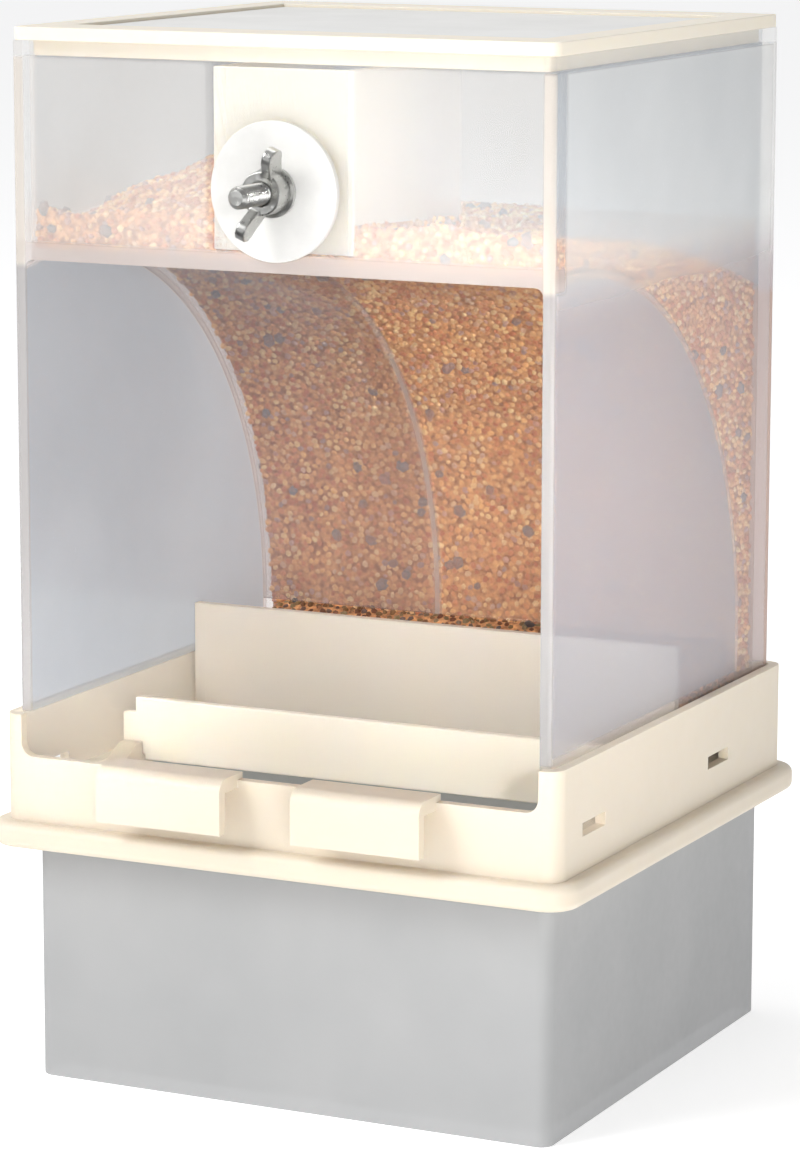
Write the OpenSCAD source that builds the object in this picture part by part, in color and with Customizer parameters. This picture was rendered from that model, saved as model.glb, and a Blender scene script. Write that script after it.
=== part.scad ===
// Gravity seed feeder that hangs inside a cage: a clear hopper with a curved baffle stands in a
// collar with two wire hooks, and a husk tray hangs below the collar.
// Origin: on the underside of the tray, at the middle of the hopper's footprint.
// +Z is up, -Y is the feeding side, +X is to the right of someone who faces the feeding side.

/* [Hopper] */
// Outside width of the hopper
hopper_w = 106; // [98:1:112]
// Outside depth of the hopper
hopper_d = 102; // [96:1:108]
// Height of the hopper's walls
hopper_h = 135.6; // [130:0.2:145]
// Thickness of the hopper's walls
hopper_wall = 2.4; // [2:0.1:2.6]
// Height of the wall above the feeding window
header_h = 38.9; // [36:0.1:42]

/* [Baffle] */
// Radius of the baffle's concave face
baffle_r = 75.5; // [70:0.5:76]
// Thickness of the baffle
baffle_t = 1.6; // [1.2:0.1:2]

/* [Husk tray] */
// Outside width of the tray
tray_w = 103; // [100:0.5:103]
// Outside depth of the tray
tray_d = 99; // [94:0.5:99]
// Height of the tray, up to the top of its rim
tray_h = 53; // [50:1:60]
// Thickness of the tray's walls
tray_wall = 1.8; // [1.4:0.1:2.2]
// How far the tray stands behind the middle of the hopper
tray_back = 1.4; // [1:0.1:1.5]

/* [Collar] */
// Thickness of the collar's walls
collar_wall = 2; // [1.6:0.1:2.4]
// Height of the collar's side and rear walls
collar_h = 24.4; // [22:0.2:28]
// Height of the collar's front wall
collar_front_h = 16.8; // [15:0.2:18]
// How far the bottom bead stands out from the collar's walls
bead_out = 2.9; // [2:0.1:3.4]
// Height of the bottom bead
bead_h = 4.7; // [4:0.1:5.5]

/* [Wire hooks] */
// Width of each hook
hook_w = 25; // [18:1:28]
// Distance between the middles of the two hooks
hook_pitch = 39; // [34:1:44]
// Gap for the cage wire, between the hook's lip and the collar
hook_gap = 4.7; // [4.5:0.1:5]
// Length of the hook's lip
hook_drop = 10; // [7:0.5:11]

/* [Feeding trough] */
// Height of the trough's front wall
trough_front_h = 24; // [20:1:28]
// Height of the husk guard above the collar's ledge
guard_h = 11; // [9:0.5:13]

/* [Clamp bolt] */
// Diameter of the bolt
bolt_d = 4; // [4:0.5:5]
// Length of the bolt under its head
bolt_len = 19.8; // [18:0.2:24]
// Diameter of the large washer
washer_d = 24.6; // [20:0.2:30]
// Angle of the wing nut's wings from horizontal
wing_angle = 67.6; // [0:0.2:180]

/* [Lid] */
// Thickness of the lid's rim above the hopper
lid_t = 2.4; // [2:0.1:4]
// Width of the lid's rim beside its window
lid_side_rim = 7; // [6:0.5:12]
// Width of the lid's rim before and behind its window
lid_front_rim = 10.5; // [8:0.5:16]

/* [Hidden] */
$fn = 96;
fit_gap = 0.3;       // between pieces that lift apart
cut = 1;             // how far a cutting shape runs past what it cuts
hopper_r = 1.2;      // vertical edges of the hopper

collar_inner_w = hopper_w + 2 * fit_gap;
collar_inner_d = hopper_d + 2 * fit_gap;
collar_w = collar_inner_w + 2 * collar_wall;
collar_d = collar_inner_d + 2 * collar_wall;
collar_r = 3.2;
ledge_t = 2;
ledge_z = tray_h;                          // the ledge rests on the tray's rim
seat_z = ledge_z + ledge_t;                // the hopper and trough stand on the ledge
collar_z = ledge_z - 8.4;
ledge_in_w = hopper_w - 14;
ledge_in_d = hopper_d - 12;

hopper_in_w = hopper_w - 2 * hopper_wall;
hopper_in_d = hopper_d - 2 * hopper_wall;
hopper_top = seat_z + hopper_h;
window_top = hopper_top - header_h;
header_in_y = -hopper_in_d / 2;

baffle_lip = 12.6;                         // flat run behind the header
baffle_y = header_in_y + baffle_lip;       // centre of the baffle's arc
baffle_z = window_top - 0.2 - baffle_r;
baffle_tail = 1;                           // straight run below the arc
baffle_rib_h = 3.4;
baffle_rib_t = 2;

insert_w = hopper_in_w - 2 * fit_gap;      // pieces that stand between the hopper's side walls
trough_y = 10.5;                           // front of the trough
trough_back = hopper_in_d / 2 - fit_gap;
trough_wall = 1.8;
trough_side_h = 11;
trough_rear_h = 7;

guard_y = -17;                             // middle of the husk guard
guard_t = 2;
guard_shoulder_h = guard_h - 3;
guard_shoulder_w = 2.7;

bolt_z = window_top + 14.3;
shroud_w = 27.2;
shroud_t = 1.6;
shroud_depth = 44;
shroud_z = window_top + baffle_rib_h;
shroud_top = hopper_top - 3.6;
inner_washer_t = 1;
bolt_head_h = 2.6;
under_head_y = header_in_y + shroud_t + inner_washer_t;
washer_t = 1.2;
small_washer_t = 0.8;
washer_y = -hopper_d / 2;
small_washer_y = washer_y - washer_t;
nut_y = small_washer_y - small_washer_t;
hub_h = 4;
hub_r = bolt_d * 0.95;

cream = [0.97, 0.92, 0.83];
clear_plastic = [0.85, 0.87, 0.88, 0.45];
frosted = [0.78, 0.79, 0.79, 0.85];
zinc = [0.72, 0.72, 0.7];

// Rectangle with round corners, centred
module round_rect(w, d, r) {
    square([w - 2 * r, d], center = true);
    square([w, d - 2 * r], center = true);
    for (sx = [-1, 1], sy = [-1, 1])
        translate([sx * (w / 2 - r), sy * (d / 2 - r)]) circle(r);
}

// Rectangular tube of the given outside size, standing on z = 0
module box_tube(w, d, r, wall, h) {
    linear_extrude(h) difference() {
        round_rect(w, d, r);
        square([w - 2 * wall, d - 2 * wall], center = true);
    }
}

// Outline drawn in the Y-Z plane, extruded along X about x = 0
module along_x(length) {
    rotate([90, 0, 90]) linear_extrude(length, center = true) children();
}

// Profile drawn as (outwards, up), carried round a rectangle with round corners
module around(w, d, r) {
    for (k = [0:3]) {
        across = k % 2 == 0 ? w : d;
        along = k % 2 == 0 ? d : w;
        rotate(90 * k) {
            translate([across / 2, along / 2 - r, 0])
                rotate([90, 0, 0]) linear_extrude(along - 2 * r) children();
            translate([across / 2 - r, along / 2 - r, 0])
                rotate_extrude(angle = 90) translate([r, 0]) children();
        }
    }
}

// Disc or rod along the clamp bolt, from y towards the feeding side
module on_bolt(y, h, r) {
    translate([0, y, bolt_z]) rotate([90, 0, 0]) cylinder(h = h, r = r);
}

module on_both_sides() {
    children();
    mirror([1, 0, 0]) children();
}

// ---- Husk tray -------------------------------------------------------------

module husk_tray() {
    floor_t = 2;
    rim_h = 2.4;
    tray_r = 2.5;
    color(frosted) difference() {
        union() {
            translate([0, tray_back, 0]) linear_extrude(tray_h) round_rect(tray_w, tray_d, tray_r);
            translate([0, 0, tray_h - rim_h]) linear_extrude(rim_h)
                round_rect(hopper_w, hopper_d, hopper_r);
        }
        translate([0, tray_back, floor_t]) linear_extrude(tray_h)
            round_rect(tray_w - 2 * tray_wall, tray_d - 2 * tray_wall, tray_r - tray_wall + 0.3);
    }
}

// ---- Collar ----------------------------------------------------------------

module bead_profile() {
    r = 1.5;
    translate([-collar_wall / 2, 0]) square([collar_wall / 2 + bead_out - r, bead_h]);
    translate([0, r]) square([bead_out, bead_h - 2 * r]);
    for (z = [r, bead_h - r])
        translate([bead_out - r, z]) circle(r);
}

// Side view of a hook: an arm over the front wall and a lip that hangs down before it
module hook_profile() {
    lip_t = 2.2;
    arm_t = 2.6;
    round_r = 2.6;
    wall_y = -collar_d / 2;
    front_y = wall_y - hook_gap - lip_t;
    top_z = collar_z + collar_front_h + 1.2;
    translate([front_y, top_z - hook_drop]) square([lip_t, hook_drop - round_r]);
    translate([front_y + round_r, top_z - arm_t]) square([wall_y + collar_wall - front_y - round_r, arm_t]);
    difference() {
        translate([front_y + round_r, top_z - round_r]) circle(round_r);
        translate([front_y + lip_t, top_z - arm_t - 2 * round_r]) square([2 * round_r, 2 * round_r]);
    }
}

// Stops on the ledge that hold the husk guard upright: a ramp before it and a block behind it
module guard_stops() {
    stop_h = 2.6;
    stop_w = (insert_w - ledge_in_w) / 2 - 0.4;
    front_y = guard_y - guard_t / 2 - 0.2;
    back_y = guard_y + guard_t / 2 + 0.2;
    translate([ledge_in_w / 2 + stop_w / 2, 0, 0]) along_x(stop_w) {
        polygon([
            [front_y - 7, seat_z - 0.5], [front_y, seat_z - 0.5],
            [front_y, seat_z + stop_h], [front_y - 2, seat_z + stop_h], [front_y - 7, seat_z],
        ]);
        translate([back_y, seat_z - 0.5]) square([2.6, stop_h + 0.5]);
    }
}

module collar() {
    slot_len = 10;
    slot_h = 2.4;
    slot_z = seat_z + 0.6;
    post_w = 2.2;
    color(cream) difference() {
        union() {
            translate([0, 0, collar_z]) linear_extrude(collar_h) difference() {
                round_rect(collar_w, collar_d, collar_r);
                round_rect(collar_inner_w, collar_inner_d, hopper_r + fit_gap);
            }
            translate([0, 0, collar_z]) around(collar_w, collar_d, collar_r) bead_profile();
            translate([0, 0, ledge_z]) linear_extrude(ledge_t) difference() {
                round_rect(collar_inner_w + 1, collar_inner_d + 1, hopper_r + fit_gap);
                square([ledge_in_w, ledge_in_d], center = true);
            }
            on_both_sides() guard_stops();
        }
        // The low front wall, with round corners where it meets the side posts
        translate([0, -collar_d / 2, collar_z + collar_front_h + collar_h]) rotate([90, 0, 0])
            linear_extrude(4 * collar_wall, center = true)
                round_rect(hopper_in_w - 2 * fit_gap + post_w, 2 * collar_h, 2.5);
        // Snap slots in the side walls
        on_both_sides() for (y = [-43, 15])
            translate([collar_inner_w / 2 - 0.2, y, slot_z]) cube([collar_wall + cut, slot_len, slot_h]);
    }
    color(cream) for (side = [-1, 1])
        translate([side * hook_pitch / 2, 0, 0]) along_x(hook_w) hook_profile();
}

// ---- Trough and husk guard -------------------------------------------------

module seed_trough() {
    color(cream) {
        translate([-insert_w / 2, trough_y, seat_z])
            cube([insert_w, trough_back - trough_y, trough_wall]);
        translate([-insert_w / 2, trough_y, seat_z]) cube([insert_w, trough_wall + 0.2, trough_front_h]);
        translate([-insert_w / 2, trough_back - trough_wall, seat_z])
            cube([insert_w, trough_wall, trough_rear_h]);
        on_both_sides() translate([insert_w / 2 - trough_wall / 2, 0, 0]) along_x(trough_wall)
            polygon([
                [trough_y, seat_z], [trough_back, seat_z], [trough_back, seat_z + trough_rear_h],
                [trough_y + 10, seat_z + trough_side_h], [trough_y, seat_z + trough_side_h],
            ]);
    }
}

module husk_guard() {
    tongue_h = 1;
    tongue_w = ledge_in_w - 2 * fit_gap;
    color(cream) translate([0, guard_y, seat_z]) rotate([90, 0, 0])
        linear_extrude(guard_t, center = true) {
            translate([-insert_w / 2, 0]) square([insert_w, guard_shoulder_h]);
            translate([-insert_w / 2 + guard_shoulder_w, 0])
                square([insert_w - 2 * guard_shoulder_w, guard_h]);
            translate([-tongue_w / 2, -tongue_h]) square([tongue_w, tongue_h + 1]);
        }
}

// ---- Hopper ----------------------------------------------------------------

module hopper() {
    window_r = 1.5;
    color(clear_plastic) difference() {
        translate([0, 0, seat_z]) box_tube(hopper_w, hopper_d, hopper_r, hopper_wall, hopper_h);
        // Feeding window, open down to the bottom edge
        translate([0, -hopper_d / 2, window_top - hopper_h]) rotate([90, 0, 0])
            linear_extrude(3 * hopper_wall, center = true)
                round_rect(hopper_in_w, 2 * hopper_h, window_r);
        on_bolt(header_in_y + cut, hopper_wall + 2 * cut, bolt_d / 2 + 0.2);
    }
}

// Curved sheet that leads the seed from the header to the back of the trough
module baffle() {
    outer_r = baffle_r + baffle_t;
    color(clear_plastic) along_x(hopper_in_w) {
        difference() {
            translate([baffle_y, baffle_z]) circle(outer_r);
            translate([baffle_y, baffle_z]) circle(baffle_r);
            translate([baffle_y - 2 * outer_r, baffle_z - 2 * outer_r]) square([2 * outer_r, 4 * outer_r]);
            translate([baffle_y - outer_r, baffle_z - 2 * outer_r]) square([3 * outer_r, 2 * outer_r]);
        }
        translate([header_in_y, baffle_z + baffle_r]) square([baffle_lip, baffle_t]);
        translate([header_in_y, baffle_z + baffle_r]) square([baffle_rib_t, baffle_rib_h]);
        translate([baffle_y + baffle_r, baffle_z - baffle_tail]) square([baffle_t, baffle_tail]);
    }
}

// Channel behind the header that keeps the seed off the bolt's head
module bolt_shroud() {
    color(cream) difference() {
        translate([0, header_in_y, shroud_z]) linear_extrude(shroud_top - shroud_z) difference() {
            translate([-shroud_w / 2, 0]) square([shroud_w, shroud_depth]);
            translate([-shroud_w / 2 + shroud_t, shroud_t])
                square([shroud_w - 2 * shroud_t, shroud_depth]);
        }
        on_bolt(header_in_y + shroud_t + cut, shroud_t + 2 * cut, bolt_d / 2 + 0.2);
    }
}

// ---- Clamp bolt, washers and wing nut --------------------------------------

module ring_on_bolt(y, h, r, hole_r) {
    difference() {
        on_bolt(y, h, r);
        on_bolt(y + cut, h + 2 * cut, hole_r);
    }
}

module inner_washer() {
    color(zinc) ring_on_bolt(under_head_y, inner_washer_t, bolt_d * 1.5, bolt_d / 2 + 0.15);
}

module bolt() {
    end_chamfer = 0.6;
    head_r = bolt_d;
    recess_depth = 1.4;
    color(zinc) {
        difference() {
            on_bolt(under_head_y + bolt_head_h, bolt_head_h, head_r);
            for (turn = [0, 90])
                translate([0, under_head_y + bolt_head_h, bolt_z]) rotate([90, turn, 0])
                    cube([bolt_d, 0.9, 2 * recess_depth], center = true);
        }
        on_bolt(under_head_y, bolt_len - end_chamfer, bolt_d / 2);
        translate([0, under_head_y - bolt_len + end_chamfer, bolt_z]) rotate([90, 0, 0])
            cylinder(h = end_chamfer, r1 = bolt_d / 2, r2 = bolt_d / 2 - end_chamfer);
    }
}

module clamp_washer() {
    color(zinc) ring_on_bolt(washer_y, washer_t, washer_d / 2, bolt_d / 2 + 0.15);
}

module small_washer() {
    color(zinc) ring_on_bolt(small_washer_y, small_washer_t, bolt_d * 1.125, bolt_d / 2 + 0.15);
}

// Side view of one wing as (out from the bolt, along the bolt)
module wing_profile() {
    tip_r = 2;
    tip = [6.7, 4.7];
    polygon([[2.7, 0.3], [3.9, 0.3], [8.4, 3.7], [5.4, 6.2], [2.7, 3.8]]);
    translate(tip) circle(tip_r);
}

module wing_nut() {
    wing_t = 1.9;
    color(zinc) translate([0, nut_y, bolt_z]) rotate([90, 0, 0]) difference() {
        union() {
            cylinder(h = hub_h, r = hub_r);
            for (turn = [0, 180])
                rotate(wing_angle + turn) rotate([90, 0, 0])
                    linear_extrude(wing_t, center = true) wing_profile();
        }
        translate([0, 0, -cut]) cylinder(h = hub_h + 2 * cut, r = bolt_d / 2 + 0.06);
    }
}

// ---- Lid -------------------------------------------------------------------

module lid_frame() {
    skirt_h = 2.8;
    skirt_t = 2;
    seat_h = 0.4;
    seat_w = 2;
    window_w = hopper_w - 2 * lid_side_rim;
    window_d = hopper_d - 2 * lid_front_rim;
    skirt_w = hopper_in_w - 2 * fit_gap;
    skirt_d = hopper_in_d - 2 * fit_gap;
    color(cream) {
        difference() {
            translate([0, 0, hopper_top]) linear_extrude(lid_t) round_rect(hopper_w, hopper_d, 2);
            translate([-window_w / 2, -window_d / 2, hopper_top + seat_h])
                cube([window_w, window_d, lid_t]);
            translate([-window_w / 2 + seat_w, -window_d / 2 + seat_w, hopper_top - cut])
                cube([window_w - 2 * seat_w, window_d - 2 * seat_w, lid_t]);
        }
        translate([0, 0, hopper_top - skirt_h]) box_tube(skirt_w, skirt_d, 1, skirt_t, skirt_h);
    }
}

module lid_window() {
    seat_h = 0.4;
    pane_t = 1.4;
    pane_gap = 0.1;
    pane_w = hopper_w - 2 * lid_side_rim - 2 * pane_gap;
    pane_d = hopper_d - 2 * lid_front_rim - 2 * pane_gap;
    color(frosted) translate([-pane_w / 2, -pane_d / 2, hopper_top + seat_h]) cube([pane_w, pane_d, pane_t]);
}

husk_tray();
collar();
seed_trough();
husk_guard();
hopper();
baffle();
bolt_shroud();
inner_washer();
bolt();
clamp_washer();
small_washer();
wing_nut();
lid_frame();
lid_window();
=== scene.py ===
"""Looks of the gravity seed feeder: softened mouldings, threaded bolt, cast wing nut, seed and hazy plastics.

Places and sizes are in metres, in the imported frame: +Z up, -Y towards the feeding window, origin under the
husk tray. Most are worked out from the CAD pieces' boxes, and the rest are named here.
"""

import math

import bmesh
import bpy
import numpy as np
from mathutils import Matrix, Vector


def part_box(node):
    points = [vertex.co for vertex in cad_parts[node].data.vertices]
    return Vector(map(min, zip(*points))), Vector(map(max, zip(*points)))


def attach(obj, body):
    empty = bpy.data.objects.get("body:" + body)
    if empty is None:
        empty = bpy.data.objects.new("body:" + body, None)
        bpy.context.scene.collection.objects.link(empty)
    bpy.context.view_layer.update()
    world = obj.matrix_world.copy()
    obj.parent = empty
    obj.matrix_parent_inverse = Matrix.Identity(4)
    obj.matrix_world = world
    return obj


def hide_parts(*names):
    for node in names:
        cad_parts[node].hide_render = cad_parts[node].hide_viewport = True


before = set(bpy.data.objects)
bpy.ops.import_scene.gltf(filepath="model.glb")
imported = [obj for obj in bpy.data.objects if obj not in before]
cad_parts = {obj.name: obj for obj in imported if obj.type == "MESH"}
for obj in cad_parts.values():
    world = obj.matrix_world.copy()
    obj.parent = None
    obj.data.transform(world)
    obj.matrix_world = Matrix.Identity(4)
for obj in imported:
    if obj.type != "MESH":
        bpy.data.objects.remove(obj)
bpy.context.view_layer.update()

MM = 0.001
scene = bpy.context.scene

hopper_low, hopper_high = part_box("hopper")
baffle_low, baffle_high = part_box("baffle")
shroud_low, shroud_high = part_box("bolt_shroud")
trough_low, trough_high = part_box("seed_trough")
_, collar_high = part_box("collar")
lid_low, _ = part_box("lid_frame")
bolt_low, bolt_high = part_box("bolt")
_, inner_washer_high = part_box("inner_washer")

WALL = 2.4 * MM                                # the hopper's walls
inner_x = hopper_high.x - WALL
inner_y = hopper_high.y - WALL
BAFFLE_R = 75.5 * MM                           # the baffle's concave face
BAFFLE_T = 1.6 * MM
BAFFLE_Y = baffle_high.y - BAFFLE_T - BAFFLE_R  # the arc's centre
BAFFLE_TAIL = 1.0 * MM                         # the straight stretch below the arc
BAFFLE_Z = baffle_low.z + BAFFLE_TAIL

# The seed in the hopper: its height at the middle, its fall towards the rear, and a mound on the left
SEED_LEVEL = 153.6 * MM
SEED_FALL = 0.185
SEED_CURVE = 1.4
MOUND_TOP = 174.5 * MM
MOUND_FALL = 0.46
MOUND_X, MOUND_Y = -17 * MM, -20 * MM
MOUND_ROUND = 5 * MM


# ---- Camera ------------------------------------------------------------------------------------


def make_camera():
    """A long lens, 26 degrees to the right of the front and 10 degrees above it."""
    place = (0.3493, -0.7197, 0.2364)
    yaw, pitch, roll = math.radians(25.95), math.radians(10.38), math.radians(0.09)
    data = bpy.data.cameras.new("camera")
    data.sensor_fit = "VERTICAL"
    data.sensor_height = 36
    data.lens = 136.2
    data.clip_start = 0.01
    camera = bpy.data.objects.new("camera", data)
    scene.collection.objects.link(camera)
    camera.matrix_world = (
        Matrix.Translation(place)
        @ Matrix.Rotation(yaw, 4, "Z")
        @ Matrix.Rotation(math.pi / 2 - pitch, 4, "X")
        @ Matrix.Rotation(roll, 4, "Z")
    )
    scene.camera = camera


make_camera()


# ---- Materials ---------------------------------------------------------------------------------


def set_range(node, low, high, to_low, to_high):
    """Sets the two ranges of a Map Range node."""
    for name, number in (("From Min", low), ("From Max", high), ("To Min", to_low), ("To Max", to_high)):
        node.inputs[name].default_value = number


class Shader:
    """A Principled material under construction. Positions in its textures are the piece's own, in metres."""

    def __init__(self, name, **sockets):
        self.material = bpy.data.materials.new(name)
        self.material.use_nodes = True
        self.tree = self.material.node_tree
        self.bsdf = self.tree.nodes["Principled BSDF"]
        self.place = self.tree.nodes.new("ShaderNodeTexCoord").outputs["Object"]
        # So ior sets IOR, and specular_ior_level sets Specular IOR Level
        for socket, value in sockets.items():
            self.bsdf.inputs[socket.replace("_", " ").title().replace("Ior", "IOR")].default_value = value
        self.bsdf.subsurface_method = "RANDOM_WALK"

    def node(self, kind, **settings):
        """A new node of that kind with its settings made."""
        made = self.tree.nodes.new(kind)
        for name, value in settings.items():
            setattr(made, name, value)
        return made

    def link(self, source, target):
        self.tree.links.new(source, target)

    def noise(self, size, detail=3.0, stretch=(1, 1, 1)):
        """Noise from 0 to 1 whose blotches are about size across."""
        scaled = self.node("ShaderNodeMapping")
        scaled.inputs["Scale"].default_value = stretch
        self.link(self.place, scaled.inputs["Vector"])
        made = self.node("ShaderNodeTexNoise")
        made.inputs["Scale"].default_value = 1 / size
        made.inputs["Detail"].default_value = detail
        self.link(scaled.outputs["Vector"], made.inputs["Vector"])
        return made.outputs["Fac"]

    def coordinate(self, axis):
        """The place along X, Y or Z."""
        split = self.node("ShaderNodeSeparateXYZ")
        self.link(self.place, split.inputs[0])
        return split.outputs[axis]

    def along(self, axis, start, end):
        """0 at start and 1 at end along X, Y or Z, smooth between them."""
        return self.ranged(self.coordinate(axis), start, end, 0, 1, "SMOOTHSTEP")

    def beyond(self, centre_y, centre_z, radius, soft):
        """0 inside a cylinder along X and 1 outside it, over a soft edge."""
        sideways = self.maths("SUBTRACT", self.coordinate("Y"), centre_y)
        upward = self.maths("SUBTRACT", self.coordinate("Z"), centre_z)
        reach = self.maths("SQRT", self.maths("ADD", self.squared(sideways), self.squared(upward)), 0)
        return self.ranged(reach, radius, radius + soft, 0, 1, "SMOOTHSTEP")

    def ranged(self, value, low, high, to_low, to_high, interpolation="LINEAR"):
        """The value with low to high stretched to to_low to to_high, and held there beyond them."""
        made = self.node("ShaderNodeMapRange", interpolation_type=interpolation)
        set_range(made, low, high, to_low, to_high)
        self.link(value, made.inputs["Value"])
        return made.outputs["Result"]

    def maths(self, operation, a, b):
        """The result of an operation on a and b. Each is a number or a socket."""
        made = self.node("ShaderNodeMath", operation=operation)
        for k, value in enumerate((a, b)):
            if isinstance(value, (int, float)):
                made.inputs[k].default_value = value
            else:
                self.link(value, made.inputs[k])
        return made.outputs[0]

    def squared(self, a):
        return self.maths("MULTIPLY", a, a)

    def both(self, a, b):
        """Where masks a and b overlap, or a number scaled by a mask."""
        return self.maths("MULTIPLY", a, b)

    def either(self, a, b):
        """Where mask a or mask b is, the stronger of the two."""
        return self.maths("MAXIMUM", a, b)

    def but_not(self, a, b):
        """Mask a outside mask b."""
        return self.both(a, self.ranged(b, 0, 1, 1, 0))

    def blend(self, factor, a, b):
        """Number a where factor is 0 and b where it is 1. Each is a number or a socket."""
        return self.maths("ADD", self.both(self.ranged(factor, 0, 1, 1, 0), a), self.both(factor, b))

    def sides(self, near, far):
        """0 where |x| is under near and 1 where it is over far."""
        return self.either(self.along("X", near, far), self.along("X", -near, -far))

    def mix(self, factor, a, b):
        """Colour a where factor is 0 and b where it is 1. Each is a colour or another mix."""
        made = self.node("ShaderNodeMix", data_type="RGBA")
        self.link(factor, made.inputs["Factor"])
        for name, value in (("A", a), ("B", b)):
            socket = [s for s in made.inputs if s.name == name and s.type == "RGBA"][0]
            if isinstance(value, tuple):
                socket.default_value = (*value, 1)
            else:
                self.link(value, socket)
        return [s for s in made.outputs if s.type == "RGBA"][0]

    def ramp(self, value, *stops):
        """Colour that runs through the stops, each a position from 0 to 1 and its colour."""
        made = self.node("ShaderNodeValToRGB")
        while len(made.color_ramp.elements) < len(stops):
            made.color_ramp.elements.new(0.5)
        for element, (position, colour) in zip(made.color_ramp.elements, stops):
            element.position = position
            element.color = (*colour, 1)
        self.link(value, made.inputs["Fac"])
        return made.outputs["Color"]

    def attribute(self, name):
        """A number that the mesh stores at each point."""
        return self.node("ShaderNodeAttribute", attribute_name=name).outputs["Fac"]

    def bump(self, height, depth):
        """Adds a bump of that depth in metres, over any bump that is there already."""
        made = self.node("ShaderNodeBump")
        made.inputs["Distance"].default_value = depth
        made.inputs["Strength"].default_value = 1.0
        self.link(height, made.inputs["Height"])
        normal = self.bsdf.inputs["Normal"]
        if normal.is_linked:
            self.link(normal.links[0].from_socket, made.inputs["Normal"])
        self.link(made.outputs["Normal"], normal)

    def under_seed(self):
        """1 below the top of the seed in the hopper and 0 above it, as heap_top has it but for its ripple."""
        x, y, z = (self.coordinate(axis) for axis in "XYZ")
        slope = self.maths("ADD", self.maths("MULTIPLY", y, SEED_CURVE), SEED_FALL)
        even = self.maths("SUBTRACT", SEED_LEVEL, self.maths("MULTIPLY", y, slope))
        across = self.squared(self.maths("SUBTRACT", x, MOUND_X))
        along = self.squared(self.maths("SUBTRACT", y, MOUND_Y))
        reach = self.maths("SQRT", self.maths("ADD", self.maths("ADD", across, along), MOUND_ROUND ** 2), 0)
        mound = self.maths("SUBTRACT", MOUND_TOP, self.maths("MULTIPLY", reach, MOUND_FALL))
        above = self.maths("SUBTRACT", z, self.maths("MAXIMUM", even, mound))
        return self.ranged(above, -0.5 * MM, 1.0 * MM, 1, 0)

    def drive(self, socket, value):
        """Lets value set one of the Principled shader's sockets."""
        self.link(value, self.bsdf.inputs[socket])

    def gloss_over(self, head_on, roughness):
        """A mirror gloss over the whole surface, which a see-through base doesn't thin out.

        head_on is the share that it mirrors straight on, and it rises to all of it at grazing angles.
        """
        facing = self.node("ShaderNodeLayerWeight").outputs["Facing"]
        grazing = self.maths("MULTIPLY", self.maths("POWER", facing, 5.0), 1 - head_on)
        share = self.maths("ADD", grazing, head_on)
        mirror = self.node("ShaderNodeBsdfGlossy")
        mirror.inputs["Roughness"].default_value = roughness
        normal = self.bsdf.inputs["Normal"]
        if normal.is_linked:
            self.link(normal.links[0].from_socket, mirror.inputs["Normal"])
        mix = self.node("ShaderNodeMixShader")
        self.link(share, mix.inputs[0])
        self.link(self.bsdf.outputs[0], mix.inputs[1])
        self.link(mirror.outputs[0], mix.inputs[2])
        out = self.tree.nodes["Material Output"]
        self.link(mix.outputs[0], out.inputs["Surface"])


def cream_plastic(name, low, high, glow=(0, 0, 0)):
    """Satin ivory polypropylene: faint flow marks, fine skin grain and small scuffs.

    glow is a painted glow on the inner face of the collar's left wall, standing in for daylight through that
    wall.
    """
    s = Shader(name, ior=1.49, specular_ior_level=0.4, subsurface_weight=0.25, subsurface_scale=2.5 * MM)
    s.bsdf.inputs["Subsurface Radius"].default_value = (1.0, 0.8, 0.5)
    flow = s.noise(18 * MM, 2)
    s.drive("Base Color", s.mix(flow, low, high))
    s.drive("Roughness", s.ranged(s.noise(3 * MM, 4), 0.3, 0.7, 0.34, 0.5))
    s.bump(s.noise(6 * MM, 2), 0.05 * MM)
    s.bump(s.noise(0.5 * MM, 3), 0.012 * MM)
    if any(glow):
        near_wall_x = (hopper_low.x + 3.5 * MM, hopper_low.x + 2.5 * MM)
        wall_middle_x = (hopper_low.x - 0.8 * MM, hopper_low.x - 1.6 * MM)
        behind_front_y = (hopper_low.y - 0.6 * MM, hopper_low.y + 0.4 * MM)
        # Painted glow: emission on the inner face of the collar's left wall
        inner_left = s.but_not(s.along("X", *near_wall_x), s.along("X", *wall_middle_x))
        inner_left = s.both(inner_left, s.along("Y", *behind_front_y))
        s.drive("Emission Color", s.mix(inner_left, (0, 0, 0), glow))
        s.bsdf.inputs["Emission Strength"].default_value = 1.0
    return s.material


def shroud_plastic():
    """The cream channel behind the header, thinner and paler towards its open rear edge, with a painted glow.
    """
    s = Shader(
        "shroud_plastic", ior=1.49, specular_ior_level=0.35, subsurface_weight=0.7, subsurface_scale=8 * MM,
    )
    s.bsdf.inputs["Subsurface Radius"].default_value = (1.0, 0.85, 0.6)
    rear = s.along("Y", shroud_low.y + 2.6 * MM, shroud_high.y - 3.4 * MM)
    s.drive("Base Color", s.mix(rear, (0.97, 0.90, 0.76), (0.86, 0.86, 0.84)))
    s.drive("Roughness", s.ranged(s.noise(3 * MM, 4), 0.3, 0.7, 0.36, 0.5))
    s.drive("Alpha", s.ranged(rear, 0, 1, 1.0, 0.3))
    # Painted glow: a faint emission stands in for light through the cream plastic
    s.bsdf.inputs["Emission Color"].default_value = (1.0, 0.94, 0.83, 1)
    s.bsdf.inputs["Emission Strength"].default_value = 0.1
    s.bump(s.noise(5 * MM, 2), 0.05 * MM)
    return s.material


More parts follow.
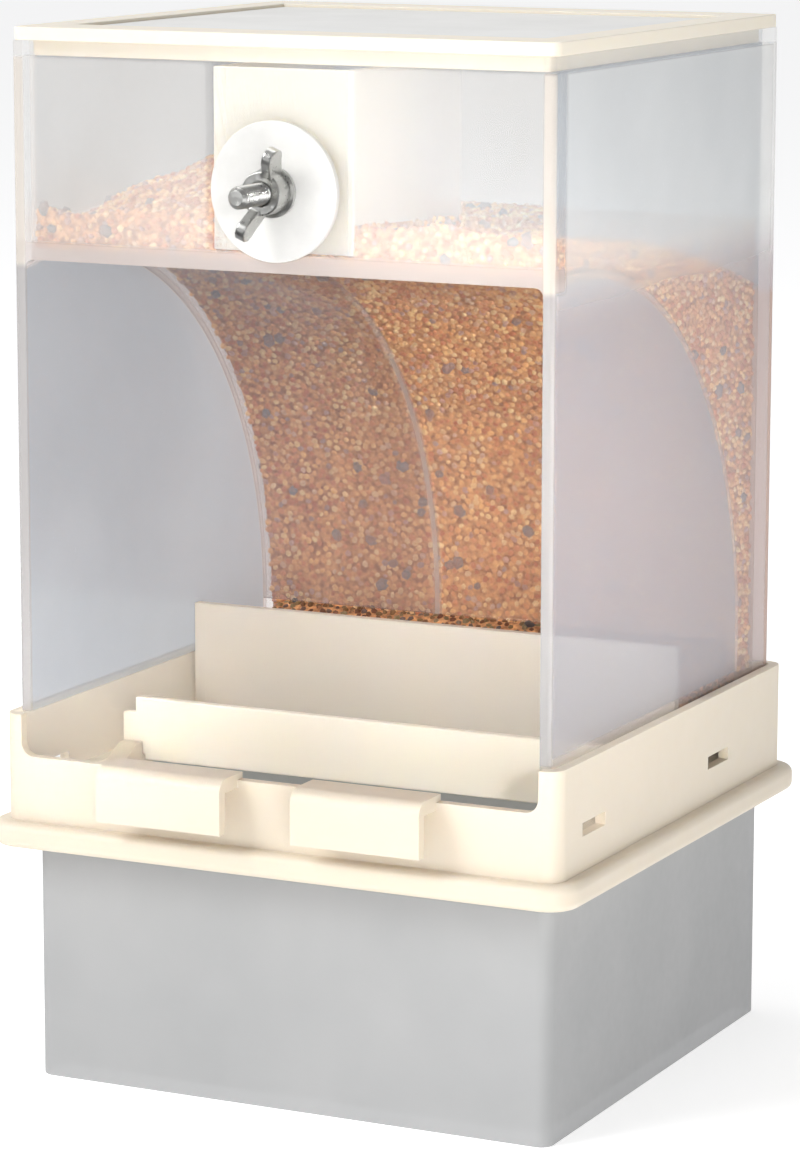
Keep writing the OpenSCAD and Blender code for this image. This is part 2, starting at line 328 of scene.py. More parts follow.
def baffle_plastic():
    """Glossy clear polystyrene with moulding ripple. Painted shade on its left part ends in a grey line."""
    shade_edge = (-10.8 * MM, -11.6 * MM)
    line_edge = (-13.2 * MM, -12.4 * MM)
    line_fades = (148 * MM, 136 * MM)
    s = Shader("baffle_plastic", specular_ior_level=0.0)
    cloud = s.noise(30 * MM, 2)
    front_face = s.ranged(s.beyond(BAFFLE_Y, BAFFLE_Z, BAFFLE_R + 0.5 * MM, 0.5 * MM), 0, 1, 1, 0)
    # Painted shade: a darker, hazier left part, with a grey line painted along its edge
    left = s.both(front_face, s.along("X", *shade_edge))
    line = s.both(s.both(left, s.along("X", *line_edge)), s.along("Z", *line_fades))
    clear = s.mix(cloud, (0.60, 0.52, 0.48), (0.66, 0.58, 0.53))
    s.drive("Base Color", s.mix(line, s.mix(left, clear, (0.27, 0.22, 0.22)), (0.44, 0.41, 0.40)))
    haze = s.blend(left, s.ranged(cloud, 0.3, 0.7, 0.05, 0.09), 0.36)
    s.drive("Alpha", s.blend(line, haze, 0.5))
    s.bump(s.noise(40 * MM, 1), 0.05 * MM)
    s.gloss_over(0.12, 0.04)
    return s.material


def hopper_plastic():
    """Frosted-clear walls. They look clear where seed lies against them, and milky where it stands off.

    The haze is on the walls' inner faces, which are painted darker and bluer as shade; the outer faces are
    paler and even. A pale seam runs where the baffle is joined. The walls are also clear where the collar,
    the lid and the bolt's channel touch them.
    """
    # Where each zone begins and where it is full, mostly from the faces of the CAD pieces
    low_z = (158 * MM, 142 * MM)
    header_z = (150 * MM, 151.4 * MM)
    header_y = (-inner_y + 2.6 * MM, -inner_y + 0.6 * MM)
    rib_z = (baffle_high.z + 0.5 * MM, baffle_high.z - 0.3 * MM)
    seam_z = (baffle_high.z - 1.4 * MM, baffle_high.z - 2.4 * MM)
    under_lid_z = (lid_low.z - 0.6 * MM, lid_low.z + 0.2 * MM)
    in_collar_z = (collar_high.z + 0.6 * MM, collar_high.z)
    outer_x = (hopper_high.x - 1.5 * MM, hopper_high.x - 0.5 * MM)
    outer_y = (hopper_high.y - 0.8 * MM, hopper_high.y - 0.2 * MM)
    side_wall_x = (inner_x - 0.4 * MM, inner_x + 0.2 * MM)
    front_edge_y = (hopper_low.y + 0.8 * MM, hopper_low.y + 0.2 * MM)
    rear_corner_x = (inner_x - 4.0 * MM, inner_x - 3.4 * MM)
    rear_corner_y = (inner_y - 0.4 * MM, inner_y - 0.1 * MM)
    channel_x = (shroud_high.x - 0.2 * MM, shroud_high.x + 0.6 * MM)

    s = Shader("hopper_plastic", specular_ior_level=0.0)
    cloud = s.noise(30 * MM, 2)
    scratches = s.noise(1.2 * MM, 2, stretch=(1, 1, 0.04))
    dust = s.ranged(s.noise(0.6 * MM, 2), 0.68, 0.78, 0, 1)
    low = s.along("Z", *low_z)
    outer = s.either(s.sides(*outer_x), s.along("Y", *outer_y))

    behind_arc = s.beyond(BAFFLE_Y, BAFFLE_Z, BAFFLE_R - 0.5 * MM, 2.0 * MM)
    touching = s.but_not(s.both(behind_arc, s.under_seed()), outer)
    seam_front = s.beyond(BAFFLE_Y, BAFFLE_Z, BAFFLE_R - 0.3 * MM, 0.8 * MM)
    seam_back = s.beyond(BAFFLE_Y, BAFFLE_Z, BAFFLE_R + 1.1 * MM, 0.8 * MM)
    seam = s.both(s.but_not(seam_front, seam_back), s.along("Z", *seam_z))
    seam = s.but_not(seam, outer)
    header = s.both(s.along("Y", *header_y), s.along("Z", *header_z))
    rib = s.both(header, s.along("Z", *rib_z))
    front_edge = s.both(s.sides(*side_wall_x), s.along("Y", *front_edge_y))
    rear_edge = s.both(s.sides(*rear_corner_x), s.along("Y", *rear_corner_y))
    channel = s.but_not(s.but_not(header, rib), s.sides(*channel_x))
    held = s.either(s.along("Z", *under_lid_z), s.along("Z", *in_collar_z))

    # The inner faces are painted darker and bluer than the outer ones: painted shade inside the hopper
    pale = s.mix(low, (0.95, 0.95, 0.93), (0.54, 0.46, 0.465))
    colour = s.mix(outer, (0.40, 0.46, 0.53), pale)
    colour = s.mix(touching, colour, (0.52, 0.42, 0.37))
    colour = s.mix(seam, colour, (0.84, 0.77, 0.73))
    colour = s.mix(header, colour, (0.88, 0.87, 0.85))
    colour = s.mix(rib, colour, (0.66, 0.59, 0.56))
    colour = s.mix(front_edge, colour, s.mix(header, (0.41, 0.39, 0.38), (0.65, 0.59, 0.525)))
    s.drive("Base Color", s.mix(s.both(rear_edge, s.under_seed()), colour, (0.52, 0.36, 0.29)))

    # How much of what is behind each zone it veils, from 0 to 1
    veil = s.blend(touching, 0.6, s.ranged(low, 0, 1, 0.2, 0.04))
    veil = s.blend(outer, veil, s.ranged(low, 0, 1, 0.5, 0.33))
    veil = s.both(veil, s.ranged(cloud, 0.3, 0.7, 0.94, 1.06))
    veil = s.blend(header, veil, 0.24)
    veil = s.either(veil, s.both(s.either(seam, rib), 0.5))
    veil = s.either(veil, s.both(s.either(front_edge, rear_edge), 0.75))
    veil = s.both(veil, s.ranged(s.either(held, channel), 0, 1, 1, 0.25))
    s.drive("Alpha", s.maths("ADD", veil, s.both(dust, 0.04)))
    s.bump(s.noise(14 * MM, 1), 0.06 * MM)
    s.bump(scratches, 0.006 * MM)
    s.gloss_over(0.04, 0.14)
    return s.material


def frosted_plastic():
    """Frosted grey polypropylene of the husk tray. A painted glow on its inside faces stands in for daylight
    through its walls.
    """
    # The middle of each wall and of the floor, over which the painted glow of the inside begins
    side_x = (50.2 * MM, 50.8 * MM)
    front_y = (-46.9 * MM, -47.5 * MM)
    rear_y = (49.7 * MM, 50.3 * MM)
    floor_z = (0.6 * MM, 1.2 * MM)
    s = Shader("frosted_plastic", ior=1.49, specular_ior_level=0.35)
    flow = s.noise(25 * MM, 2)
    s.drive("Base Color", s.mix(flow, (0.43, 0.435, 0.44), (0.475, 0.475, 0.475)))
    s.drive("Roughness", s.ranged(s.noise(2 * MM, 4), 0.3, 0.7, 0.38, 0.52))
    s.drive("Alpha", s.ranged(flow, 0.3, 0.7, 0.86, 0.92))
    inside = s.but_not(s.along("Z", *floor_z), s.sides(*side_x))
    inside = s.but_not(s.but_not(inside, s.along("Y", *front_y)), s.along("Y", *rear_y))
    # Painted glow on the inside faces
    s.drive("Emission Color", s.mix(inside, (0, 0, 0), (0.14, 0.14, 0.13)))
    s.bsdf.inputs["Emission Strength"].default_value = 1.0
    s.bump(s.noise(9 * MM, 2), 0.06 * MM)
    s.bump(s.noise(0.35 * MM, 3), 0.015 * MM)
    return s.material


def lid_pane_plastic():
    """Frosted pale pane of the lid."""
    s = Shader("lid_pane", ior=1.5, specular_ior_level=0.5)
    flow = s.noise(20 * MM, 2)
    s.drive("Base Color", s.mix(flow, (0.88, 0.87, 0.84), (0.93, 0.92, 0.89)))
    s.drive("Roughness", s.ranged(s.noise(2 * MM, 3), 0.3, 0.7, 0.3, 0.45))
    s.drive("Alpha", s.ranged(flow, 0.3, 0.7, 0.93, 0.97))
    s.bump(s.noise(0.4 * MM, 3), 0.02 * MM)
    return s.material


def zinc_plate(name, low, high, roughness, metallic=1.0):
    """Zinc plate: cloudy sheen, fine pitting, rubbed patches. Less metallic is paler: duller skin and painted
    reflection.
    """
    s = Shader(name, metallic=metallic)
    cloud = s.noise(2.5 * MM, 4)
    s.drive("Base Color", s.mix(cloud, low, high))
    s.drive("Roughness", s.ranged(s.noise(0.8 * MM, 4), 0.3, 0.7, roughness, roughness + 0.18))
    s.bump(s.noise(1.2 * MM, 3), 0.03 * MM)
    s.bump(s.noise(0.25 * MM, 2), 0.008 * MM)
    return s.material


# The colour of a grain by its tint from 0 to 1: red, tan, golden, straw, dull brown and near black
GRAIN_TINTS = {
    0.0: (0.50, 0.15, 0.07),
    0.2: (0.78, 0.34, 0.15),
    0.46: (1.0, 0.60, 0.24),
    0.74: (1.0, 0.80, 0.42),
    0.86: (0.62, 0.42, 0.38),
    0.95: (0.18, 0.21, 0.23),
}


def shaded(colour, shade):
    """The colour made darker: shade is the share of it that is left."""
    return tuple(shade * part for part in colour)


def seed_husk(name, shade):
    """Millet of several kinds: each grain has its own tint, and patches of the heap are redder."""
    s = Shader(name, ior=1.45, specular_ior_level=0.3)
    stops = [(place, shaded(tint, shade)) for place, tint in GRAIN_TINTS.items()]
    patches = s.ranged(s.noise(6 * MM, 3), 0.40, 0.62, 0.4, 0)
    colour = s.mix(patches, s.ramp(s.attribute("tint"), *stops), shaded((0.56, 0.22, 0.13), shade))
    mottle = s.ranged(s.noise(0.7 * MM, 3), 0.35, 0.75, 0, 0.35)
    s.drive("Base Color", s.mix(mottle, colour, shaded((0.40, 0.16, 0.06), shade)))
    s.drive("Roughness", s.ranged(s.noise(0.5 * MM, 2), 0.3, 0.7, 0.4, 0.65))
    s.bump(s.noise(0.3 * MM, 2), 0.03 * MM)
    return s.material


def seed_depth():
    """What shows between the grains: the same seed painted darker, as shade between them."""
    s = Shader("seed_depth", roughness=0.8)
    lumps = s.ranged(s.noise(1.4 * MM, 4), 0.35, 0.65, 0, 1)
    s.drive("Base Color", s.mix(lumps, (0.34, 0.14, 0.06), (0.80, 0.42, 0.18)))
    s.bump(s.noise(1.3 * MM, 3), 0.4 * MM)
    return s.material


# One cream plastic in three copies: the guard's and the lid's, the collar's, and the trough's. The collar's
# and the trough's are painted darker as shade, the trough's most, and the collar's also has a painted glow.
CREAM = cream_plastic("cream_plastic", (0.93, 0.845, 0.71), (0.96, 0.87, 0.735))
CREAM_COLLAR = cream_plastic("cream_collar_shade", (0.757, 0.675, 0.55), (0.79, 0.70, 0.575), glow=(0.17, 0.16, 0.13))
CREAM_TROUGH = cream_plastic("cream_shaded", (0.60, 0.54, 0.46), (0.64, 0.58, 0.495))
SHROUD = shroud_plastic()
HOPPER = hopper_plastic()
BAFFLE = baffle_plastic()
FROSTED = frosted_plastic()
PANE = lid_pane_plastic()
ZINC = zinc_plate("zinc_steel", (0.54, 0.54, 0.52), (0.72, 0.72, 0.70), 0.24)
# The clamp washer's pale, half-metallic zinc is partly a duller skin and partly a painted reflection of a
# softbox
ZINC_BRIGHT = zinc_plate("zinc_bright", (0.84, 0.83, 0.80), (0.92, 0.91, 0.88), 0.42, metallic=0.25)
SEED = seed_husk("seed_husk", 1.0)
# The trough's seed is a darker copy: painted shade under the baffle
TROUGH_SEED = seed_husk("trough_seed_husk", 0.27)
SEED_DEPTH = seed_depth()


# ---- Pieces made from CAD nodes ----------------------------------------------------------------


def add_piece(name, mesh, body, material, nodes=()):
    """Puts a finished mesh in the scene: it rides on a body and stands for the given CAD nodes."""
    piece = bpy.data.objects.new(name, mesh)
    scene.collection.objects.link(piece)
    mesh.materials.clear()
    mesh.materials.append(material)
    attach(piece, body)
    if nodes:
        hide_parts(*nodes)
    return piece


def smooth(piece):
    """Smooth shading that keeps the flat faces flat."""
    piece.data.shade_smooth()
    weighted = piece.modifiers.new("weighted_normals", "WEIGHTED_NORMAL")
    weighted.keep_sharp = True


def node_bmesh(node):
    """The node's mesh, welded, with each flat face in one piece."""
    bm = bmesh.new()
    bm.from_mesh(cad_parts[node].data)
    bmesh.ops.remove_doubles(bm, verts=bm.verts, dist=0.002 * MM)
    bmesh.ops.dissolve_limit(bm, angle_limit=math.radians(0.5), verts=bm.verts, edges=bm.edges)
    return bm


def round_over(bm, width):
    """Rounds every sharp edge."""
    sharp_angle = math.radians(35)
    sharp = [e for e in bm.edges if len(e.link_faces) == 2 and e.calc_face_angle() > sharp_angle]
    bmesh.ops.bevel(
        bm, geom=sharp, offset=width, offset_type="OFFSET", segments=3, profile=0.5,
        affect="EDGES", clamp_overlap=True,
    )


def finished_mesh(bm, name):
    """A mesh of the bmesh's shape, which is freed."""
    mesh = bpy.data.meshes.new(name)
    bmesh.ops.recalc_face_normals(bm, faces=bm.faces)
    bm.to_mesh(mesh)
    bm.free()
    return mesh


def moulding(node, body, material, width):
    """A CAD node with its sharp edges rounded over, as a moulding has them."""
    bm = node_bmesh(node)
    round_over(bm, width)
    piece = add_piece(node + "_piece", finished_mesh(bm, node + "_piece"), body, material, [node])
    smooth(piece)


moulding("husk_tray", "tray", FROSTED, 0.4 * MM)
moulding("collar", "collar", CREAM_COLLAR, 0.5 * MM)
moulding("seed_trough", "collar", CREAM_TROUGH, 0.3 * MM)
moulding("husk_guard", "husk_guard", CREAM, 0.35 * MM)
moulding("hopper", "hopper", HOPPER, 0.25 * MM)
moulding("baffle", "hopper", BAFFLE, 0.15 * MM)
# Light passes the clear pieces without a shadow, so the seed behind them stays bright
for clear in ("hopper_piece", "baffle_piece"):
    bpy.data.objects[clear].visible_shadow = False
moulding("bolt_shroud", "hopper", SHROUD, 0.25 * MM)
moulding("lid_frame", "lid", CREAM, 0.6 * MM)
moulding("lid_window", "lid", PANE, 0.15 * MM)
moulding("inner_washer", "hopper", ZINC, 0.12 * MM)
moulding("clamp_washer", "washers", ZINC_BRIGHT, 0.2 * MM)
moulding("small_washer", "washers", ZINC, 0.12 * MM)


# ---- Bolt and wing nut -------------------------------------------------------------------------

bolt_axis_z = (bolt_low.z + bolt_high.z) / 2
under_head_y = inner_washer_high.y
BOLT_R = 2.0 * MM
THREAD_PITCH = 0.7 * MM
THREAD_DEPTH = 0.38 * MM
POINT_CUT = 0.75 * MM                          # how much smaller the radius is at the bolt's free end


def thread_radius(turn, travel, length):
    """Radius of the thread at a turn from 0 to 1 and a distance along the shank, pointed at its free end."""
    phase = (travel / THREAD_PITCH - turn) % 1
    flank = abs(2 * phase - 1)
    cut = min(1.0, max(0.0, 1.35 * flank - 0.12))   # flat at the crest and at the root
    point = BOLT_R - POINT_CUT + (length - travel)
    return min(BOLT_R - THREAD_DEPTH * cut, point)


def add_thread(bm, start_y, end_y):
    """A threaded shank towards -Y, closed at both ends."""
    sides, steps_per_turn = 28, 8
    length = start_y - end_y
    steps = int(length / THREAD_PITCH * steps_per_turn)
    rings = []
    for k in range(steps + 1):
        travel = length * k / steps
        ring = []
        for j in range(sides):
            turn = j / sides
            r = thread_radius(turn, travel, length)
            angle = 2 * math.pi * turn
            z = bolt_axis_z + r * math.sin(angle)
            ring.append(bm.verts.new((r * math.cos(angle), start_y - travel, z)))
        rings.append(ring)
    for a, b in zip(rings, rings[1:]):
        for j in range(sides):
            k = (j + 1) % sides
            bm.faces.new((a[j], a[k], b[k], b[j]))
    bm.faces.new(rings[-1])
    bm.faces.new(list(reversed(rings[0])))


def make_bolt():
    """The CAD bolt's head on a shank with a cut thread."""
    bm = node_bmesh("bolt")
    bmesh.ops.bisect_plane(
        bm, geom=bm.verts[:] + bm.edges[:] + bm.faces[:], plane_co=(0, under_head_y - 0.2 * MM, 0),
        plane_no=(0, -1, 0), clear_outer=True,
    )
    open_edges = [e for e in bm.edges if len(e.link_faces) == 1]
    bmesh.ops.holes_fill(bm, edges=open_edges)
    round_over(bm, 0.2 * MM)
    add_thread(bm, under_head_y, bolt_low.y)
    piece = add_piece("bolt_piece", finished_mesh(bm, "bolt_piece"), "hopper", ZINC, ["bolt"])
    smooth(piece)


def applied(piece):
    """The piece's mesh with its modifiers worked in."""
    graph = bpy.context.evaluated_depsgraph_get()
    return bpy.data.meshes.new_from_object(piece.evaluated_get(graph))


def make_wing_nut():
    """The CAD nut with the soft fillets of a casting."""
    raw = bpy.data.objects.new("raw_nut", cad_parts["wing_nut"].data.copy())
    scene.collection.objects.link(raw)
    remesh = raw.modifiers.new("remesh", "REMESH")
    remesh.mode = "VOXEL"
    remesh.voxel_size = 0.16 * MM
    soften = raw.modifiers.new("soften", "SMOOTH")
    soften.factor = 0.6
    soften.iterations = 7
    mesh = applied(raw)
    bpy.data.objects.remove(raw)
    mesh.name = "wing_nut_piece"
    piece = add_piece("wing_nut_piece", mesh, "wing_nut", ZINC, ["wing_nut"])
    piece.data.shade_smooth()


make_bolt()
make_wing_nut()


# ---- Seed --------------------------------------------------------------------------------------

GRAIN = 0.75 * MM                              # half a grain: how far a core stays inside the walls
SUNK = 0.3 * MM                                # how far a core's top lies under the heap's top
THROAT_LOW = 68.6 * MM                         # where the hopper's seed ends, on the trough's
THROAT_SLOPE = 2.6 * MM                        # how far its underside runs back from the baffle
HEADER_HEAP_Y = -40 * MM                       # the seed rises again from here to the header
HEADER_RISE = 0.18
SHROUD_GAP = 0.6 * MM                          # how far its top keeps from the rear end of the bolt's channel
LEAST_DEPTH = 0.5 * MM                         # the least depth of seed on the baffle's crest
POINTS_APART = 0.1 * MM                        # the least step between points of an outline

TROUGH_WALL = 1.8 * MM
TROUGH_REAR = 7.4 * MM                         # the seed lies over the trough's low rear wall
TROUGH_WALL_GAPS = (0.2 * MM, 0.3 * MM)        # how far the seed keeps from the trough's front and rear wall
TROUGH_BACK_GAP = 1.2 * MM                     # and from the hopper's rear wall
# The seed in the trough, in mm: flat behind the baffle's edge, then falling to the front
TROUGH_SEED_TOP = 74.4
TROUGH_SEED_LOW = 58.6
TROUGH_FLAT_Y = 40.5
TROUGH_FALL = 0.5

# The grains: a range for each measure, of which every grain takes its own
HALF_LENGTH = (0.66 * MM, 0.9 * MM)
WIDTH_SHARE = (0.72, 0.9)                      # of its length
HEIGHT_SHARE = (0.62, 0.82)
LIFT = (-0.15 * MM, 0.05 * MM)                 # its middle's height over the core
DARK_SHARE = 0.012                             # of the grains, which are large dark seeds
DARK_GROWTH = (1.5, 2.3)                       # how many times larger they are
PALE_TINTS = 0.93                              # the other grains' tints stop short of the darkest one
HANG = 0.4 * MM                                # how far a grain may reach below its core

def heap_top(x, y):
    """Height of the seed in the hopper: a mound on the left that slumps to a slope on the right."""
    even = SEED_LEVEL - y * (SEED_FALL + SEED_CURVE * y)
    if y < HEADER_HEAP_Y:
        even += HEADER_RISE * (HEADER_HEAP_Y - y)
    reach = math.sqrt((x - MOUND_X) ** 2 + (y - MOUND_Y) ** 2 + MOUND_ROUND ** 2)
    beside_shroud = x >= shroud_high.x and y < shroud_high.y
    top = even if beside_shroud else max(even, MOUND_TOP - MOUND_FALL * reach)
    # Waves about 18 and 11 mm long
    ripple = 0.5 * math.sin(310 * x + 170 * y) + 0.35 * math.sin(530 * y - 210 * x + 1.3)
    return top + ripple * MM


def hopper_section(x):
    """Outline of the seed in the hopper at x, as (y, z) points, half a grain inside every wall.

    It runs up the baffle's back, along the header, over the top from front to rear and down the rear wall.
    """
    in_shroud = shroud_low.x < x < shroud_high.x
    radius = BAFFLE_R + BAFFLE_T + GRAIN
    points = [(BAFFLE_Y + radius + THROAT_SLOPE, THROAT_LOW)]
    arc_steps = 26
    for k in range(arc_steps + 1):
        angle = 0.5 * math.pi * k / arc_steps
        y = BAFFLE_Y + radius * math.cos(angle)
        z = BAFFLE_Z + radius * math.sin(angle)
        points.append((y, max(z, THROAT_LOW + POINTS_APART)))
    front_y = -inner_y + GRAIN
    points.append((front_y, BAFFLE_Z + radius))
    surface_y = shroud_high.y + SHROUD_GAP if in_shroud else front_y
    shelf_z = shroud_low.z - SUNK if in_shroud else BAFFLE_Z + radius + LEAST_DEPTH
    points.append((front_y, shelf_z))
    points.append((surface_y, shelf_z + POINTS_APART))
    top_steps = 30
    back_y = inner_y - GRAIN
    for k in range(top_steps + 1):
        y = surface_y + (back_y - surface_y) * k / top_steps
        points.append((y, max(heap_top(x, y) - SUNK, shelf_z + 2 * POINTS_APART)))
    back_steps = 12
    top_z = points[-1][1]
    for k in range(1, back_steps + 1):
        points.append((back_y, top_z + (THROAT_LOW - top_z) * k / back_steps))
    return points


def trough_top(x, y):
    """Height of the seed in the trough: it slopes forward from the baffle's lower edge."""
    x, y = x / MM, y / MM
    slope = TROUGH_SEED_TOP - TROUGH_FALL * max(0.0, TROUGH_FLAT_Y - y)
    ripple = 0.25 * math.sin(0.4 * x) + 0.2 * math.sin(0.9 * x + 0.5 * y)
    return max(slope + ripple, TROUGH_SEED_LOW) * MM


def trough_section(x):
    """Outline of the seed in the trough at x, above its floor and its rear wall."""
    floor_z = trough_low.z + TROUGH_WALL
    front_gap, rear_gap = TROUGH_WALL_GAPS
    front_y = trough_low.y + TROUGH_WALL + front_gap + GRAIN
    ledge_y = trough_high.y - TROUGH_WALL - rear_gap
    ledge_z = trough_low.z + TROUGH_REAR
    back_y = inner_y - GRAIN - TROUGH_BACK_GAP
    points = [(front_y, floor_z)]
    steps = 22
    for k in range(steps + 1):
        y = front_y + (back_y - front_y) * k / steps
        points.append((y, trough_top(x, y) - SUNK))
    points += [(back_y, ledge_z), (ledge_y, ledge_z), (ledge_y, floor_z)]
    return points


def loft(sections):
    """A closed mesh through outlines at rising x. Each is (x, points), and all have as many points."""
    bm = bmesh.new()
    rings = [[bm.verts.new((x, y, z)) for y, z in points] for x, points in sections]
    count = len(rings[0])
    for a, b in zip(rings, rings[1:]):
        for j in range(count):
            k = (j + 1) % count
            bm.faces.new((a[j], b[j], b[k], a[k]))
    bm.faces.new(rings[0])
    bm.faces.new(list(reversed(rings[-1])))
    bmesh.ops.triangulate(bm, faces=bm.faces)
    bmesh.ops.recalc_face_normals(bm, faces=bm.faces)
    return bm


def stations(low, high, step, extra=()):
    """Evenly spaced x values from low to high, with a close pair at each value in extra."""
    count = max(2, round((high - low) / step))
    values = [low + (high - low) * k / count for k in range(count + 1)]
    for x in extra:
        values += [x - 0.01 * MM, x + 0.01 * MM]
    return sorted(values)


def spread_points(bm, spacing, rng):
    """Points on the mesh's surface no closer than spacing, with their normals."""
    faces = [f for f in bm.faces if f.calc_area() > 0]
    corners = np.array([[v.co for v in f.verts] for f in faces], float)
    normals = np.array([f.normal for f in faces], float)
    edges = corners[:, 1:] - corners[:, :1]
    areas = 0.5 * np.linalg.norm(np.cross(edges[:, 0], edges[:, 1]), axis=1)
    tries = int(3.2 * areas.sum() / spacing ** 2)   # enough of them to leave no bare spots
    chosen = rng.choice(len(areas), tries, p=areas / areas.sum())
    u, v = rng.random(tries), rng.random(tries)
    over = u + v > 1
    u[over], v[over] = 1 - u[over], 1 - v[over]
    points = corners[chosen, 0] + u[:, None] * edges[chosen, 0] + v[:, None] * edges[chosen, 1]
    taken, kept = {}, []
    for k, point in enumerate(points):
        cell = tuple(int(c // spacing) for c in point)
        near = [
            taken.get((cell[0] + i, cell[1] + j, cell[2] + h))
            for i in (-1, 0, 1) for j in (-1, 0, 1) for h in (-1, 0, 1)
        ]
        if all(n is None or np.sum((points[n] - point) ** 2) >= spacing ** 2 for n in near):
            taken[cell] = k
            kept.append(k)
    return points[kept], normals[chosen][kept]


def random_turns(count, rng):
    """Random rotation matrices, from random unit quaternions."""
    q = rng.normal(size=(count, 4))
    q /= np.linalg.norm(q, axis=1)[:, None]
    w, x, y, z = q.T
    return np.stack([
        np.stack([1 - 2 * (y * y + z * z), 2 * (x * y - z * w), 2 * (x * z + y * w)], -1),
        np.stack([2 * (x * y + z * w), 1 - 2 * (x * x + z * z), 2 * (y * z - x * w)], -1),
        np.stack([2 * (x * z - y * w), 2 * (y * z + x * w), 1 - 2 * (x * x + y * y)], -1),
    ], 1)


def grain_mesh(name, points, normals, rng):
    """One mesh of oval grains, each with its own size, turn and tint, half sunk in the heap's surface."""
    shape = bmesh.new()
    bmesh.ops.create_icosphere(shape, subdivisions=1, radius=1)
    ball = np.array([v.co for v in shape.verts], float)
    triangles = np.array([[v.index for v in f.verts] for f in shape.faces])
    shape.free()
    count = len(points)
    tint = rng.random(count)
    dark = tint > 1 - DARK_SHARE
    tint[~dark] *= PALE_TINTS
    size = rng.uniform(*HALF_LENGTH, count)
    size[dark] *= rng.uniform(*DARK_GROWTH, dark.sum())
    width = rng.uniform(*WIDTH_SHARE, count)
    height = rng.uniform(*HEIGHT_SHARE, count)
    stretch = np.stack([np.ones(count), width, height], -1)
    local = ball[None] * (stretch * size[:, None])[:, None]
    turned = np.einsum("nij,nvj->nvi", random_turns(count, rng), local)
    lift = rng.uniform(*LIFT, count)
    verts = turned + (points + normals * lift[:, None])[:, None]
    faces = triangles[None] + (np.arange(count) * len(ball))[:, None, None]
    mesh = bpy.data.meshes.new(name)
    mesh.from_pydata(verts.reshape(-1, 3).tolist(), [], faces.reshape(-1, 3).tolist())
    attribute = mesh.attributes.new("tint", "FLOAT", "POINT")
    attribute.data.foreach_set("value", np.repeat(tint, len(ball)).astype(np.float32))
    mesh.shade_smooth()
    return mesh


def keep_inside(mesh, low, high, lowest):
    """Presses grains that would stick through the walls or hang out below back to where the seed ends."""
    co = np.zeros(len(mesh.vertices) * 3, np.float32)
    mesh.vertices.foreach_get("co", co)
    co = co.reshape(-1, 3)
    co[:, 0] = np.clip(co[:, 0], low[0], high[0])
    co[:, 1] = np.clip(co[:, 1], low[1], high[1])
    co[:, 2] = np.maximum(co[:, 2], lowest)
    mesh.vertices.foreach_set("co", co.ravel())


def make_seed(name, body, sections, spacing, random_seed, husk):
    """A heap: a core of shaded seed and the grains that show on it, in groups by the way they face."""
    core = loft(sections)
    rng = np.random.default_rng(random_seed)
    points, normals = spread_points(core, spacing, rng)
    add_piece(name + "_core", finished_mesh(core, name + "_core"), body, SEED_DEPTH)
    lowest = min(z for _, points_at_x in sections for _, z in points_at_x) - HANG
    margin = 0.05 * MM
    low = (-inner_x + margin, -inner_y + margin)
    high = (inner_x - margin, inner_y - margin)
    upward = normals[:, 2] > 0.5
    sideways = ~upward & (np.abs(normals[:, 0]) > 0.5)
    groups = {"top": upward, "sides": sideways, "faces": ~upward & ~sideways}
    for group, chosen in groups.items():
        if not chosen.any():
            continue
        mesh = grain_mesh(f"{name}_{group}", points[chosen], normals[chosen], rng)
        keep_inside(mesh, low, high, lowest)
        add_piece(f"{name}_{group}", mesh, body, husk)


side_x = inner_x - GRAIN
hopper_xs = stations(-side_x, side_x, 3.5 * MM, extra=(shroud_low.x, shroud_high.x))
make_seed("hopper_seed", "hopper", [(x, hopper_section(x)) for x in hopper_xs], 1.1 * MM, 11, SEED)
trough_x = trough_high.x - TROUGH_WALL - GRAIN
trough_xs = stations(-trough_x, trough_x, 4 * MM)
make_seed("trough_seed", "collar", [(x, trough_section(x)) for x in trough_xs], 1.2 * MM, 12, TROUGH_SEED)


# ---- Stage and lights --------------------------------------------------------------------------


def make_floor():
    """A wide pale floor, with a glow that keeps it white where little light reaches."""
    half = 14.0
    mesh = bpy.data.meshes.new("floor")
    corners = [(-half, -half, 0), (half, -half, 0), (half, half, 0), (-half, half, 0)]
    mesh.from_pydata(corners, [], [(0, 1, 2, 3)])
    floor = bpy.data.objects.new("floor", mesh)
    scene.collection.objects.link(floor)
    s = Shader("floor", roughness=0.9, specular_ior_level=0.1)
    s.bsdf.inputs["Base Color"].default_value = (0.94, 0.94, 0.94, 1)
    s.bsdf.inputs["Emission Color"].default_value = (1, 1, 1, 1)
    s.bsdf.inputs["Emission Strength"].default_value = 0.52
    mesh.materials.append(s.material)
    floor.visible_glossy = False


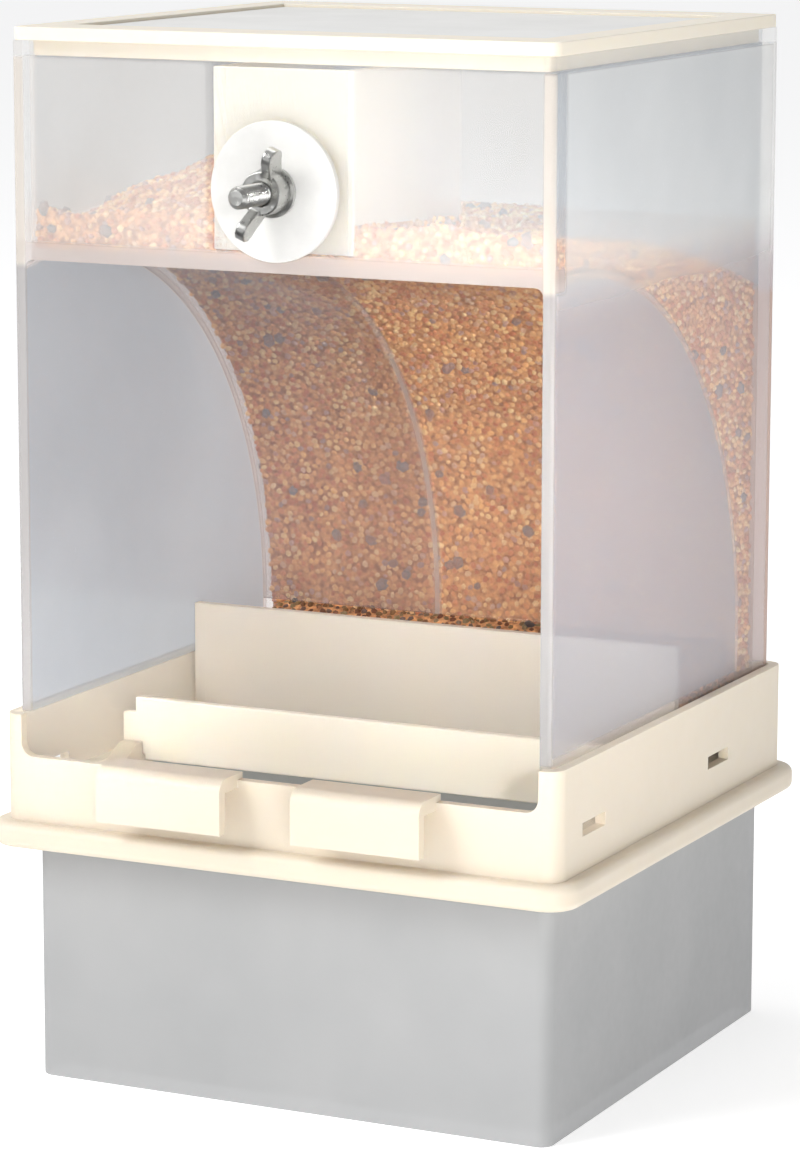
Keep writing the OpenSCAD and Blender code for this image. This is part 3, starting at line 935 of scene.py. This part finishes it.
def make_world():
    """White to the camera and soft grey as light, paler on the left than on the right.

    Mirror reflections see a pale wall behind and a dark room in front.
    """
    world = bpy.data.worlds.new("studio")
    world.use_nodes = True
    tree = world.node_tree
    tree.nodes.clear()
    rays = tree.nodes.new("ShaderNodeLightPath")
    out = tree.nodes.new("ShaderNodeOutputWorld")
    direction = tree.nodes.new("ShaderNodeSeparateXYZ")
    tree.links.new(tree.nodes.new("ShaderNodeTexCoord").outputs["Generated"], direction.inputs[0])

    def graded(axis, low, high, to_low, to_high):
        made = tree.nodes.new("ShaderNodeMapRange")
        set_range(made, low, high, to_low, to_high)
        tree.links.new(direction.outputs[axis], made.inputs["Value"])
        return made.outputs["Result"]

    # The first level lights the scene. Each of the others takes its place for its own kind of ray.
    levels = {
        "light": graded("X", -1, 1, 0.56, 0.24),
        "Is Camera Ray": None,
        "Is Glossy Ray": graded("Y", -0.4, 0.5, 0.1, 0.9),
    }
    shader = None
    for name, strength in levels.items():
        level = tree.nodes.new("ShaderNodeBackground")
        level.inputs["Color"].default_value = (0.98, 0.985, 1, 1)
        if strength is not None:
            tree.links.new(strength, level.inputs["Strength"])
        if shader is None:
            shader = level.outputs[0]
            continue
        mix = tree.nodes.new("ShaderNodeMixShader")
        tree.links.new(rays.outputs[name], mix.inputs[0])
        tree.links.new(shader, mix.inputs[1])
        tree.links.new(level.outputs[0], mix.inputs[2])
        shader = mix.outputs[0]
    tree.links.new(shader, out.inputs["Surface"])
    scene.world = world


def softbox(name, place, target, size, power, spread=180):
    """A soft rectangular light. spread is how widely it fans out, in degrees."""
    data = bpy.data.lights.new(name, "AREA")
    data.shape = "RECTANGLE"
    data.size, data.size_y = size
    data.energy = power
    data.spread = math.radians(spread)
    light = bpy.data.objects.new(name, data)
    scene.collection.objects.link(light)
    light.visible_camera = False
    light.location = place
    light.rotation_euler = (Vector(target) - Vector(place)).to_track_quat("-Z", "Y").to_euler()


make_floor()
make_world()
# The key is the daylight from the upper left. Small lights lift the header, the baffle seen through the
# window, the collar's left inside and the right side, and one from above lights the lid.
softbox("key", (-0.75, -0.95, 1.0), (0, 0, 0.1), (0.7, 0.7), 12)
softbox("header_glow", (-0.34, -0.72, 0.12), (0, -0.05, 0.17), (0.13, 0.22), 0.19)
softbox("window_fill", (0.42, -0.62, 0.26), (0.024, 0.0, 0.110), (0.08, 0.08), 0.028, spread=12)
softbox("collar_fill", (0.30, -0.64, 0.31), (-0.052, -0.026, 0.064), (0.03, 0.03), 0.0034, spread=4.6)
softbox("right_fill", (0.22, -0.25, 0.06), (0.05, -0.05, 0.04), (0.08, 0.14), 0.24)
softbox("top", (-0.2, 0.1, 1.2), (0, 0, 0.19), (0.5, 0.5), 1.9)

# Plain colours, and enough steps for a ray through all the clear walls
scene.view_settings.view_transform = "Standard"
scene.view_settings.look = "None"
scene.cycles.transparent_max_bounces = 32
